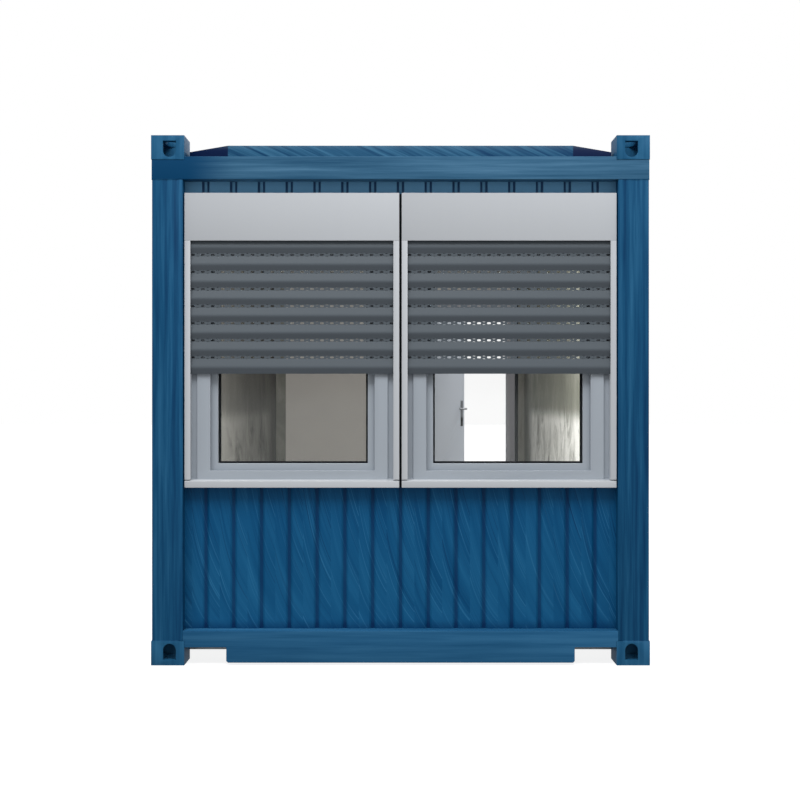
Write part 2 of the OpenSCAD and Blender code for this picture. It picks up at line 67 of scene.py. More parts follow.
# camera square on to the window gable
eye = {"distance": 6.5, "height": 1.297, "sideways": -0.0024, "width": 3.9088}
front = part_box("top_corner_castings")[1].x
cameraData = bpy.data.cameras.new("camera")
cameraData.sensor_width = 36
cameraData.lens = cameraData.sensor_width * eye["distance"] / eye["width"]
cameraData.clip_end = 200
camera = bpy.data.objects.new("camera", cameraData)
camera.location = (front + eye["distance"], eye["sideways"], eye["height"])
camera.rotation_euler = (math.radians(90), 0, math.radians(90))
scene.collection.objects.link(camera)
scene.camera = camera
print("camera set")


def tone(red, green, blue):  # display colour, 0 to 255, as linear light
    shares = [c / 255 for c in (red, green, blue)]
    return tuple(c / 12.92 if c < 0.04045 else ((c + 0.055) / 1.055) ** 2.4 for c in shares) + (1,)


class Wire:  # one shader socket that can be added, scaled and compared
    def __init__(self, look, socket):
        self.look = look
        self.socket = socket

    def calc(self, operation, *others):
        values = dict(enumerate((self,) + others))
        return self.look.add("ShaderNodeMath", {"operation": operation}, values)

    def __add__(self, other):
        return self.calc("ADD", other)

    def __sub__(self, other):
        return self.calc("SUBTRACT", other)

    def __mul__(self, other):
        return self.calc("MULTIPLY", other)

    def __truediv__(self, other):
        return self.calc("DIVIDE", other)

    def __pow__(self, other):
        return self.calc("POWER", other)

    def __rsub__(self, other):
        return self.look.add("ShaderNodeMath", {"operation": "SUBTRACT"}, {0: other, 1: self})

    __radd__ = __add__
    __rmul__ = __mul__

    def __abs__(self):
        return self.calc("ABSOLUTE")

    def above(self, edge, soft):  # 0 below the edge, 1 above it, smooth in between
        values = {"Value": self, "From Min": edge - soft, "From Max": edge + soft}
        return self.look.add("ShaderNodeMapRange", {"interpolation_type": "SMOOTHSTEP"}, values)


class Nodes:  # a node tree that nodes are added to
    def __init__(self, tree):
        self.tree = tree

    def add(self, kind, settings, values, out=0):
        node = self.tree.nodes.new(kind)
        for key, value in settings.items():
            if key == "stops":
                ramp = node.color_ramp.elements
                while len(ramp) < len(value):
                    ramp.new(0.5)
                for element, (position, colour) in zip(ramp, value):
                    element.position = position
                    element.color = colour
            else:
                setattr(node, key, value)
        for key, value in values.items():
            if isinstance(value, Wire):
                self.tree.links.new(value.socket, node.inputs[key])
            else:
                node.inputs[key].default_value = value
        return node if out is None else Wire(self, node.outputs[out])

    def split(self, vector):
        node = self.add("ShaderNodeSeparateXYZ", {}, {0: vector}, None)
        return [Wire(self, out) for out in node.outputs]


class Look(Nodes):  # a material and the nodes that make it
    def __init__(self, name, **fixed):
        self.material = bpy.data.materials.new(name)
        self.material.use_nodes = True
        super().__init__(self.material.node_tree)
        self.shader = self.tree.nodes["Principled BSDF"]
        for socketName, value in fixed.items():
            self.shader.inputs[socketName.replace("_", " ")].default_value = value
        self.place = self.add("ShaderNodeTexCoord", {}, {}, "Object")
        self.x, self.y, self.z = self.split(self.place)

    def noise(self, stretch, detail=4, roughness=0.55, at=None, distortion=0.0):  # cells per metre along each axis
        scaled = self.add("ShaderNodeMapping", {}, {"Vector": at or self.place, "Scale": stretch})
        values = {"Vector": scaled, "Scale": 1, "Detail": detail, "Roughness": roughness, "Distortion": distortion}
        return self.add("ShaderNodeTexNoise", {}, values, "Fac")

    def mix(self, factor, low, high, blend="MIX"):
        settings = {"data_type": "RGBA", "blend_type": blend}
        return self.add("ShaderNodeMix", settings, {0: factor, 6: low, 7: high}, 2)

    def ramp(self, factor, *stops):
        return self.add("ShaderNodeValToRGB", {"stops": stops}, {0: factor}, "Color")

    def point(self, x, y, z):
        return self.add("ShaderNodeCombineXYZ", {}, {0: x, 1: y, 2: z})

    def put(self, **links):
        for socketName, wire in links.items():
            self.tree.links.new(wire.socket, self.shader.inputs[socketName.replace("_", " ")])

    def bump(self, height, distance, strength=1.0):
        values = {"Height": height, "Distance": distance, "Strength": strength}
        self.put(Normal=self.add("ShaderNodeBump", {}, values, "Normal"))
        return self.material


# blue coat: long brushed streaks that run along one axis of the piece
blue = {"gloss": 0.12, "dark": (0, 34, 78), "across": 44, "along": 1.4}


def shifted(base, step):
    return tone(*(min(255, max(0, c + step)) for c in base))


def streakedPaint(name, run, base, spread, plainBelow=None, plain=None):
    look = Look(name, Specular_IOR_Level=blue["gloss"])
    stretch = tuple(blue["along"] if axis == run else blue["across"] for axis in "xyz")
    fine = look.noise(stretch, 6, 0.62)
    broad = look.noise(tuple(s * 0.3 for s in stretch), 3)
    streak = fine * 0.6 + broad * 0.4
    colour = look.ramp(streak, (0.36, shifted(base, -spread)), (0.5, tone(*base)), (0.66, shifted(base, spread)))
    if plain is not None:  # the streaks start some way along the piece
        colour = look.mix(look.y.above(plainBelow, 0.14), tone(*plain), colour)
    grime = look.noise((3, 3, 3), 5) * (1 - look.z.above(0.12, 0.14))
    colour = look.mix(grime * 0.14, colour, tone(14, 44, 66))
    look.put(Base_Color=colour, Roughness=0.36 + fine * 0.22)
    peel = look.noise((260, 260, 260), 2)
    return look.bump(peel * 0.5 + fine * 0.5, 0.0006, 0.35)


# profiled sheet: on each flange, fine rays fan from steep at the top to flat at the foot; the light and dark rays are
# painted reflection streaks
flange = {"pitch": 0.1375, "foot": 0.168, "height": 0.7, "steep": 4.5, "flat": 1.3,
          "base": (14, 86, 131), "spread": 24, "shade": (0, 74, 122)}


def flangePaint(name, along, doubleAbove=10, shadeBand=0.03):
    look = Look(name, Specular_IOR_Level=blue["gloss"])
    travel = look.y if along == "y" else look.x
    count = (travel / flange["pitch"]).calc("ROUND")
    u = travel - count * flange["pitch"]
    rise = ((look.z - flange["foot"]) / flange["height"]).calc("MINIMUM", 1.6)
    slope = rise * (flange["steep"] - flange["flat"]) + flange["flat"]
    ray = look.z + u * slope
    fan = look.noise((62, 1, 0.9), 5, 0.6, look.point(ray, count * 3.7, look.z))
    darkRays = look.noise((56, 1, 0.9), 5, 0.6, look.point(ray + 7, count * 6.1, look.z))
    bold = look.noise((7, 1, 0.9), 3, 0.5, look.point(ray, count * 5.3 + 11, look.z))
    base, spread = flange["base"], flange["spread"]
    colour = look.ramp(bold, (0.3, shifted(base, -spread * 0.5)), (0.5, tone(*base)), (0.75, shifted(base, spread * 0.5)))
    # darker towards the top in the flange shade colour: painted shade, standing for the shadow under the window boxes
    colour = look.mix(rise.above(0.8, 0.6) * 0.7, colour, tone(*flange["shade"]))
    # light rays: painted reflection streaks
    colour = look.mix(fan.above(0.63, 0.07) * 0.42, colour, shifted(base, 2 * spread))
    # dark rays: painted reflection streaks
    darkRayMask = darkRays.above(0.63, 0.05) * (rise * 0.6 + 0.15).calc("MINIMUM", 0.75)
    colour = look.mix(darkRayMask, colour, tone(*blue["dark"]))
    high = look.z.above(doubleAbove, 0.05)
    off = abs(u)
    # groove bottoms, and on the upper strip the groove slopes, are painted dark: painted shade in the grooves
    bottom = (1 - off.above(0.0085, 0.003)) * (1 - high) * 0.62
    slopes = off.above(0.007, 0.002) * (1 - off.above(0.0185, 0.002)) * high
    # the strip above the windows is painted lighter: painted light that lifts the shade under the header and window
    # boxes
    colour = look.mix(high * 0.78, colour, tone(112, 168, 205))
    # a dark band just above the foot: painted shade above the sill
    band = 1 - look.z.above(flange["foot"] + shadeBand * 0.7, shadeBand)
    colour = look.mix((bottom + slopes * 0.85 + band * 0.5).calc("MINIMUM", 0.85), colour, tone(*blue["dark"]))
    look.put(Base_Color=colour, Roughness=0.36 + fan * 0.2)
    peel = look.noise((240, 240, 240), 2)
    return look.bump(peel * 0.5 + fan * 0.5, 0.0006, 0.35)


def roofPaint(name):
    look = Look(name, Specular_IOR_Level=blue["gloss"])
    # diagonal stripes in the roof colour: smearing in the paint and painted reflection stripes of the sky
    slant = look.point(look.x * 2, look.y * 9 + look.z * 20, look.z * 3)
    smearAndSheen = look.noise((1.5, 2.2, 1), 5, 0.62, slant, 0.4)
    colour = look.ramp(smearAndSheen, (0.36, tone(8, 60, 98)), (0.5, tone(38, 88, 122)), (0.66, tone(60, 112, 145)))
    # the side parts of the roof's end faces in dark navy: painted shade
    endFaceShade = abs(look.x).above(2.926, 0.001) * abs(look.y).above(0.856, 0.003)
    colour = look.mix(endFaceShade, colour, tone(0, 26, 66))
    dust = look.noise((5, 5, 5), 6) * look.z.above(2.545, 0.01)
    colour = look.mix(dust * 0.35, colour, tone(92, 112, 124))
    look.put(Base_Color=colour, Roughness=0.4 + smearAndSheen * 0.2)
    return look.bump(smearAndSheen, 0.0015, 0.3)


def coatedMetal(name, base, shift, rough, grain=180):
    look = Look(name, Specular_IOR_Level=0.4)
    cloud = look.noise((2.2, 2.2, 2.2), 5)
    speck = look.noise((grain, grain, grain), 3)
    run = look.noise((26, 26, 1.6), 4)
    colour = look.mix(cloud * 0.8, tone(*base), tone(*(c - shift for c in base)))
    colour = look.mix(run * 0.18, colour, tone(*(c - 2 * shift for c in base)))
    look.put(Base_Color=colour, Roughness=rough + speck * 0.14)
    return look.bump(speck, 0.0003, 0.25)


def lockFinish(name, base, cylinderTop):  # brushed plate, with the lock cylinder under it in black
    look = Look(name, Metallic=0.85)
    brushed = look.noise((500, 500, 12), 3)
    black = 1 - look.z.above(cylinderTop, 0.002)
    colour = look.mix(brushed * 0.6, tone(*base), tone(*(c - 40 for c in base)))
    look.put(Base_Color=look.mix(black, colour, tone(10, 11, 13)), Roughness=0.3 + brushed * 0.2)
    return look.bump(brushed, 0.0001, 0.2)


# slat paint with painted light and shade: upward facets lighter, downward ones darker
def slatDustAndLight(name, base, dust, shadedUnder):
    look = Look(name, Specular_IOR_Level=0.25)
    speck = look.noise((120, 120, 120), 3)
    streak = look.noise((40, 3, 40), 4)
    facing = look.split(look.add("ShaderNodeNewGeometry", {}, {}, "Normal"))[2]
    # downward facets darker: painted shade
    colour = look.mix(facing.above(-0.06, 0.05), tone(*shadedUnder), tone(*base))
    # upward facets lighter: painted light, mixed with dust streaks
    colour = look.mix(facing.above(0.12, 0.06) * (0.35 + streak * 0.6), colour, tone(*dust))
    look.put(Base_Color=colour, Roughness=0.42 + speck * 0.16)
    return look.bump(speck, 0.0003, 0.25)


def bareMetal(name, base, rough):
    look = Look(name, Metallic=1.0)
    brushed = look.noise((500, 500, 12), 3)
    cloud = look.noise((30, 30, 30), 3)
    colour = look.mix(cloud * 0.5, tone(*base), tone(*(c - 34 for c in base)))
    look.put(Base_Color=colour, Roughness=rough + brushed * 0.18)
    return look.bump(brushed, 0.0001, 0.2)


def zincPaint(name):
    look = Look(name, Metallic=0.7)
    cells = look.add("ShaderNodeTexVoronoi", {}, {"Vector": look.place, "Scale": 60}, "Color")
    grey = look.add("ShaderNodeRGBToBW", {}, {0: cells})
    colour = look.ramp(grey, (0.1, tone(128, 134, 138)), (0.9, tone(168, 172, 175)))
    look.put(Base_Color=colour, Roughness=0.38 + grey * 0.2)
    return look.bump(look.noise((90, 90, 90), 3), 0.0004, 0.3)


def clearPane(name):
    look = Look(name, Roughness=0.03, IOR=1.5)
    smearAndSheen = look.noise((3, 3, 5), 5)
    drops = look.noise((60, 60, 60), 3).above(0.72, 0.04)
    look.put(Base_Color=look.mix(smearAndSheen, tone(196, 206, 204), tone(214, 220, 218)))
    look.put(Alpha=0.025 + smearAndSheen * 0.03 + drops * 0.03)
    return look.material


def rubber(name):
    look = Look(name, Specular_IOR_Level=0.08)
    speck = look.noise((220, 220, 220), 3)
    look.put(Base_Color=look.mix(speck, tone(14, 16, 19), tone(34, 37, 42)), Roughness=0.55 + speck * 0.2)
    return look.bump(speck, 0.0003, 0.3)


# stained lining of the long walls: damp runs, painted shade in the far corners, paler low down and darker high up near
# the front
def liningStreaked(name, dark, middle, pale, paleAmount):
    look = Look(name)
    runs = look.noise((2.2, 5, 1.5), 8, 0.74, None, 1.6)
    fine = look.noise((9, 30, 8), 6, 0.7, None, 1.2)
    blotch = look.noise((2.2, 2.2, 2.0), 5)
    stain = runs * 0.5 + fine * 0.22 + blotch * 0.28
    colour = look.ramp(stain, (0.38, tone(*dark)), (0.5, tone(*middle)), (0.62, tone(*pale)))
    # paler low down, away from the far end of the wall
    paleLower = (1 - look.z.above(1.19, 0.06)) * look.x.above(-2.25, 0.35) * runs.above(0.42, 0.12)
    colour = look.mix(paleLower * paleAmount, colour, tone(236, 235, 229))
    # darker high up towards the front
    near = look.x.above(-1.5, 0.8) * look.z.above(1.22, 0.1)
    colour = look.mix(near * 0.55, colour, tone(*dark))
    # darker towards the far end of the wall: painted shade in the far corners
    corner = 1 - look.x.above(-2.4, 0.4)
    colour = look.mix(corner * 0.72, colour, tone(58, 54, 51))
    look.put(Base_Color=colour, Roughness=0.6 + fine * 0.25)
    return look.bump(fine * 0.5 + runs * 0.5, 0.002, 0.4)


def liningGrained(name, low, high):
    look = Look(name)
    grain = look.noise((190, 190, 190), 4, 0.7)
    cloud = look.noise((1.6, 1.6, 1.6), 4)
    colour = look.mix(cloud, tone(*low), tone(*high))
    colour = look.mix(grain.above(0.52, 0.14) * 0.3, colour, tone(*(c - 44 for c in low)))
    look.put(Base_Color=colour, Roughness=0.62 + grain * 0.2)
    return look.bump(grain, 0.0008, 0.45)


def boardGrain(name):
    look = Look(name)
    flakes = look.add("ShaderNodeTexVoronoi", {}, {"Vector": look.place, "Scale": 34}, "Color")
    grey = look.add("ShaderNodeRGBToBW", {}, {0: flakes})
    colour = look.ramp(grey, (0.1, tone(132, 104, 72)), (0.9, tone(186, 158, 116)))
    look.put(Base_Color=colour, Roughness=0.6 + grey * 0.2)
    return look.bump(grey, 0.0008, 0.3)


def woolFibre(name):
    look = Look(name, Roughness=0.9)
    strands = look.noise((40, 220, 220), 6, 0.7, None, 1.2)
    look.put(Base_Color=look.ramp(strands, (0.3, tone(176, 160, 96)), (0.7, tone(222, 208, 150))))
    return look.bump(strands, 0.003, 0.6)


def vinylSheet(name):
    look = Look(name)
    chips = look.noise((420, 420, 420), 2)
    scuff = look.noise((3, 9, 3), 6, 0.6, None, 0.8)
    colour = look.mix(chips.above(0.5, 0.1), tone(112, 113, 112), tone(136, 137, 135))
    colour = look.mix(scuff.above(0.56, 0.1) * 0.35, colour, tone(82, 80, 76))
    look.put(Base_Color=colour, Roughness=0.38 + scuff * 0.3)
    return look.bump(chips, 0.0003, 0.2)


paintUp = streakedPaint("blue_streaks_upright", "z", (16, 77, 117), 24)
paintAcross = streakedPaint("blue_streaks_across", "y", (36, 86, 121), 14)
paintHeader = streakedPaint("blue_streaks_header", "y", (57, 102, 134), 22, -0.916, (0, 63, 103))
paintAlong = streakedPaint("blue_streaks_along", "x", (30, 82, 118), 18)
# sills get a lighter copy of the blue: painted light
paintSill = streakedPaint("blue_streaks_sill", "y", (38, 96, 137), 14)
paintCasting = streakedPaint("blue_casting", "z", (34, 92, 130), 12)
paintGable = flangePaint("blue_gable_sheet", "y", 2.3)
paintSide = flangePaint("blue_side_sheet", "x")
paintRoof = roofPaint("blue_roof")
windowGrey = coatedMetal("window_grey", (190, 194, 199), 5, 0.34)
# guides and sills get a lighter copy of the window grey: painted light that lifts the shadow under the shutter boxes
guideGrey = coatedMetal("guide_grey", (198, 202, 207), 5, 0.34)
frameGrey = coatedMetal("window_plastic", (165, 173, 182), 6, 0.3, 90)
doorGrey = coatedMetal("door_grey", (206, 212, 220), 7, 0.36)
jambGrey = coatedMetal("jamb_grey", (130, 129, 133), 8, 0.42)
slatGrey = slatDustAndLight("slat_grey", (83, 91, 98), (87, 95, 102), (82, 89, 96))
zinc = zincPaint("galvanised")
leverMetal = bareMetal("lever_metal", (150, 152, 156), 0.2)
lockMetal = lockFinish("lock_metal", (128, 131, 136), 1.126)
fittingMetal = bareMetal("steel_fittings", (166, 168, 170), 0.34)
paneGlass = clearPane("clear_glass")
sealBlack = rubber("black_seal")
sideLining = liningStreaked("side_lining", (104, 104, 93), (135, 136, 123), (170, 170, 158), 1.0)
# the left wall's lining is a darker copy of the right wall's: painted shade
leftLiningShaded = liningStreaked("left_lining", (48, 46, 42), (72, 70, 65), (98, 96, 90), 0.12)
endLining = liningGrained("end_lining", (168, 164, 158), (152, 148, 143))
ceilingLining = liningGrained("ceiling_lining", (206, 206, 203), (196, 196, 192))
floorBoard = boardGrain("floor_board")
floorVinyl = vinylSheet("floor_vinyl")
wool = woolFibre("mineral_wool")
print("materials made:", len(bpy.data.materials))


def smooth(mesh, angle=32):
    mesh.polygons.foreach_set("use_smooth", np.ones(len(mesh.polygons), bool))
    mesh.set_sharp_from_angle(angle=math.radians(angle))


def dress(name, material):
    for holder in nodes[name].material_slots:
        holder.material = material
    if not nodes[name].material_slots:
        nodes[name].data.materials.append(material)


def addPiece(name, mesh, material, body, standsFor=()):
    piece = bpy.data.objects.new(name, mesh)
    scene.collection.objects.link(piece)
    mesh.materials.clear()
    mesh.materials.append(material)
    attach(piece, body)
    if standsFor:
        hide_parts(*standsFor)
    return piece


# a merged copy of a frame node with its edges rounded
def soften(name, material, width, segments=2):
    mesh = nodes[name].data.copy()
    work = bmesh.new()
    work.from_mesh(mesh)
    bmesh.ops.remove_doubles(work, verts=work.verts, dist=1e-5)
    bmesh.ops.dissolve_limit(work, angle_limit=math.radians(1), verts=work.verts, edges=work.edges)
    work.to_mesh(mesh)
    work.free()
    mesh.polygons.foreach_set("use_smooth", np.ones(len(mesh.polygons), bool))
    piece = addPiece(name + "_finished", mesh, material, nodes[name]["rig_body"], (name,))
    edge = piece.modifiers.new("roundEdges", "BEVEL")
    edge.width = width
    edge.segments = segments
    edge.limit_method = "ANGLE"
    edge.angle_limit = math.radians(30)
    edge.harden_normals = True
    return piece


def gridFaces(rows, columns, closeRows=False, closeColumns=False):  # quads of a rows by columns grid
    r = np.arange(rows if closeRows else rows - 1)[:, None]
    c = np.arange(columns if closeColumns else columns - 1)[None, :]
    r2, c2 = (r + 1) % rows, (c + 1) % columns
    quads = [r * columns + c, r * columns + c2, r2 * columns + c2, r2 * columns + c]
    return np.stack([np.broadcast_to(q, (r.size, c.size)) for q in quads], -1).reshape(-1, 4)


def meshOf(name, parts, angle=32, merge=0.0):  # parts: (points, faces) pairs joined in one mesh
    points, faces, start = [], [], 0
    for partPoints, partFaces in parts:
        flat = np.asarray(partPoints, float).reshape(-1, 3)
        points.append(flat)
        faces += (np.asarray(partFaces) + start).tolist()
        start += len(flat)
    mesh = bpy.data.meshes.new(name)
    mesh.from_pydata(np.concatenate(points), [], faces)
    work = bmesh.new()
    work.from_mesh(mesh)
    if merge:
        bmesh.ops.remove_doubles(work, verts=work.verts, dist=merge)
    bmesh.ops.recalc_face_normals(work, faces=work.faces)
    work.to_mesh(mesh)
    work.free()
    smooth(mesh, angle)
    return mesh


# frame members
softFrame = {"castings": 0.005, "posts": 0.004, "rails": 0.003, "headers": 0.004, "segments": 3}
for level in ("bottom", "top"):
    soften(level + "_corner_castings", paintCasting, softFrame["castings"], softFrame["segments"])
soften("corner_posts", paintUp, softFrame["posts"], softFrame["segments"])
for end in ("front", "rear"):
    header = paintHeader if end == "front" else paintAcross
    soften(end + "_header", header, softFrame["headers"], softFrame["segments"])
    soften(end + "_sill", paintSill, softFrame["rails"], softFrame["segments"])
for side in ("left", "right"):
    soften(side + "_top_rail", paintAlong, softFrame["rails"])
    soften(side + "_bottom_rail", paintAlong, softFrame["rails"])
soften("roof_sheet", paintRoof, 0.0012, 2)
print("frame members rounded")

# weld beads round the posts' outer faces, at both ends
weld = {"radius": 0.0032, "ripple": 0.0009, "every": 0.006, "sides": 8}


def weldBead(x0, y0, x1, y1, z):  # a circle whose radius ripples, carried round the L of the two outer faces
    legs = np.array([[x1, y0], [x0, y0], [x0, y1]])
    lengths = np.linalg.norm(np.diff(legs, axis=0), axis=1)
    total = np.concatenate([[0], np.cumsum(lengths)])
    travel = np.linspace(0, total[-1], int(total[-1] / weld["every"] * 4))
    path = np.stack([np.interp(travel, total, legs[:, 0]), np.interp(travel, total, legs[:, 1])], 1)
    radius = weld["radius"] + weld["ripple"] * np.cos(travel / weld["every"] * 2 * math.pi)
    radius[[0, -1]] = 1e-4
    angle = np.linspace(0, 2 * math.pi, weld["sides"], endpoint=False)
    centre = np.array([(x0 + x1) / 2, (y0 + y1) / 2])
    inward = np.sign(centre - [x0, y0])
    spread = radius[:, None] * np.cos(angle)
    points = np.stack([
        path[:, 0, None] + spread * inward[0], path[:, 1, None] + spread * inward[1],
        z + radius[:, None] * np.sin(angle),
    ], -1)
    ends = np.arange(weld["sides"])[None, :]
    return [(points, gridFaces(len(travel), weld["sides"], False, True)), (points[0], ends), (points[-1], ends)]


postLow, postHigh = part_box("corner_posts")
inset = weld["radius"] * 0.4
beads = []
for sx in (-1, 1):
    for sy in (-1, 1):
        outer = (sx * (postHigh.x - inset), sy * (postHigh.y - inset))
        inner = (sx * (postHigh.x - 0.16), sy * (postHigh.y - 0.13))
        for z in (postLow.z, postHigh.z):
            beads += weldBead(*outer, *inner, z)
addPiece("post_welds", meshOf("post_welds", beads, 60, 1e-6), paintUp, "building")

# floor, roof filling and linings
for name, material in {
    "floor_cassette": zinc, "floor_board": floorBoard, "floor_covering": floorVinyl,
    "roof_insulation": wool, "ceiling_panel": ceilingLining, "left_wall_panel": leftLiningShaded,
    "right_wall_panel": sideLining, "front_wall_panel": endLining, "rear_wall_panel": endLining,
    "rear_wall_head": endLining, "corner_linings": sideLining,
}.items():
    dress(name, material)

# profiled cladding: wide flanges and narrow grooves with round bends
sheet = {"pitch": 0.1375, "mouth": 0.034, "bottom": 0.016, "depth": 0.010, "thick": 0.0015, "bend": 0.005, "steps": 4}


def foldedPath(low, high):  # travel and height along the sheet; each bend is a parabola from one straight to the next
    count = int((max(abs(low), abs(high)) + sheet["pitch"]) / sheet["pitch"])
    centres = np.arange(-count, count + 1) * sheet["pitch"]
    halfMouth, halfBottom = sheet["mouth"] / 2, sheet["bottom"] / 2
    offsets = np.array([-halfMouth, -halfBottom, halfBottom, halfMouth])
    levels = np.array([0, -sheet["depth"], -sheet["depth"], 0])
    travel = (centres[:, None] + offsets).ravel()
    height = np.broadcast_to(levels, (len(centres), 4)).ravel()
    knots = np.stack([travel, height], 1)
    before = knots[1:-1] - knots[:-2]
    after = knots[2:] - knots[1:-1]
    start = knots[1:-1] - before / np.linalg.norm(before, axis=1)[:, None] * sheet["bend"]
    end = knots[1:-1] + after / np.linalg.norm(after, axis=1)[:, None] * sheet["bend"]
    t = np.linspace(0, 1, sheet["steps"])[None, :, None]
    curve = (1 - t) ** 2 * start[:, None] + 2 * t * (1 - t) * knots[1:-1, None] + t ** 2 * end[:, None]
    curve = curve.reshape(-1, 2)
    inside = curve[(curve[:, 0] > low + 0.001) & (curve[:, 0] < high - 0.001)]
    ends = np.interp([low, high], curve[:, 0], curve[:, 1])
    return np.concatenate([[[low, ends[0]]], inside, [[high, ends[1]]]])


def foldedSheet(low, high, z0, z1):  # the folded path carried straight up, front and back faces joined round the rim
    path = foldedPath(low, high)
    outline = np.concatenate([path, path[::-1] - [0, sheet["thick"]]])
    z = np.array([z0, z1])
    grid = np.stack([
        np.broadcast_to(outline[None, :, 0], (2, len(outline))),
        np.broadcast_to(outline[None, :, 1], (2, len(outline))),
        np.broadcast_to(z[:, None], (2, len(outline))),
    ], -1)
    half = len(path)
    strip = np.arange(half - 1)
    lids = [np.stack([strip, strip + 1, 2 * half - 2 - strip, 2 * half - 1 - strip], 1) + k * 2 * half for k in (0, 1)]
    return grid, np.concatenate([gridFaces(2, 2 * half, False, True)] + lids)


def turned(part, towards, face):  # a sheet drawn facing +Y is set on the wall that faces that way
    points, faces = part
    travel, height, z = points[..., 0], points[..., 1], points[..., 2]
    placed = {
        "+x": (face + height, travel, z), "-x": (-face - height, travel, z),
        "+y": (travel, face + height, z), "-y": (travel, -face - height, z),
    }[towards]
    return np.stack(placed, -1), faces


lowSill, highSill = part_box("front_wall_panel")
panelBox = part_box("rear_wall_panel")
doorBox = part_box("door_frame")
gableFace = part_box("front_wall_cladding")[1].x
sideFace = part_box("right_wall_cladding")[1].y
postIn = highSill.y
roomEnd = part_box("right_wall_panel")[1].x
footZ, headZ = lowSill.z, highSill.z
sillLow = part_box("window_sills")[0].z
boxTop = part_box("left_shutter_box")[1].z
frontSheets = [foldedSheet(-postIn, postIn, footZ, sillLow), foldedSheet(-postIn, postIn, boxTop, headZ)]
rearSheets = [foldedSheet(-postIn, doorBox[0].y, footZ, headZ), foldedSheet(doorBox[0].y, postIn, doorBox[1].z, headZ)]
sideSheets = [foldedSheet(-roomEnd, roomEnd, footZ, headZ)]
for name, parts, towards, face, material in (
    ("front_wall_cladding", frontSheets, "+x", gableFace, paintGable),
    ("rear_wall_cladding", rearSheets, "-x", gableFace, paintGable),
    ("left_wall_cladding", sideSheets, "-y", sideFace, paintSide),
    ("right_wall_cladding", sideSheets, "+y", sideFace, paintSide),
):
    mesh = meshOf(name + "_sheet", [turned(part, towards, face) for part in parts], 24)
    addPiece(name + "_sheet", mesh, material, "building", (name,))
print("cladding folded")

# window units
for side in ("left", "right"):
    soften(side + "_shutter_box", windowGrey, 0.0025, 3)
    soften(side + "_shutter_guides", guideGrey, 0.0016, 3)
    soften(side + "_window_frame", frameGrey, 0.003, 3)
    soften(side + "_window_sash", frameGrey, 0.003, 3)
    dress(side + "_window_glass", paneGlass)
soften("window_sills", guideGrey, 0.002, 3)
dress("window_joint_strips", sealBlack)


def ring(y0, y1, z0, z1, x, profile):  # a closed profile of (outward, forward) points carried round a mitred rectangle
    out, ahead = np.asarray(profile, float).T
    signs = np.array([[-1, -1], [1, -1], [1, 1], [-1, 1]])
    middle = np.array([(y0 + y1) / 2, (z0 + z1) / 2])
    half = np.array([(y1 - y0) / 2, (z1 - z0) / 2])
    flat = middle + signs[:, None, :] * (half + out[None, :, None])
    depth = np.broadcast_to(x + ahead, (4, len(out)))
    return np.concatenate([depth[..., None], flat], -1), gridFaces(4, len(out), True, True)


def roundBead(radius, count=10):  # half circle standing on a flat base
    angle = np.linspace(0, math.pi, count)
    return np.stack([-radius * np.cos(angle), radius * np.sin(angle)], 1)


gasket = {"radius": 0.0045}
for side in ("left", "right"):
    low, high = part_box(side + "_window_glass")
    bead = roundBead(gasket["radius"])
    r = gasket["radius"]
    parts = [ring(low.y + r, high.y - r, low.z + r, high.z - r, high.x, bead)]
    parts.append(ring(low.y + r, high.y - r, low.z + r, high.z - r, low.x, bead * [1, -1]))
    addPiece(side + "_glass_gasket", meshOf(side + "_glass_gasket", parts), sealBlack, "building")

# roller shutters: bulged slats linked by a slotted web
slats = {"pitch": 0.084, "web": 0.015, "light": 0.040, "bulge": 0.0085, "wall": 0.0012, "steps": 7,
         "holePitch": 0.049, "holeWidth": 0.019, "holeHeight": 0.0096, "holeSides": 16,
         "barHeight": 0.073, "hidden": 0.009}


def slatProfile(top):  # from the web down: a shallow arc that faces up, a rounded nose, an arc that faces down
    t = np.linspace(0, 1, 2 * slats["steps"] + 1)
    span = slats["pitch"] - slats["web"]
    nose = slats["light"] / span
    rise = np.where(t < nose, t / nose, (1 - t) / (1 - nose))
    swell = np.where(rise < 0.8, rise / 0.9, 1 - (1 - rise) ** 2 / 0.36)
    return top - t * span, slats["bulge"] * swell


def slatSkin(y0, y1, top, back):  # the profile carried along y as a closed hollow-looking shell
    z, lift = slatProfile(top)
    y = np.array([y0, y1])
    skin = np.stack([
        np.broadcast_to(back + lift, (2, len(z))),
        np.broadcast_to(y[:, None], (2, len(z))),
        np.broadcast_to(z, (2, len(z))),
    ], -1)
    inner = skin - [slats["wall"], 0, 0]
    loop = np.concatenate([skin, inner[:, ::-1]], 1)
    half = len(z)
    strip = np.arange(half - 1)
    lids = [np.stack([strip, strip + 1, 2 * half - 2 - strip, 2 * half - 1 - strip], 1) + k * 2 * half for k in (0, 1)]
    return loop, np.concatenate([gridFaces(2, 2 * half, False, True)] + lids)


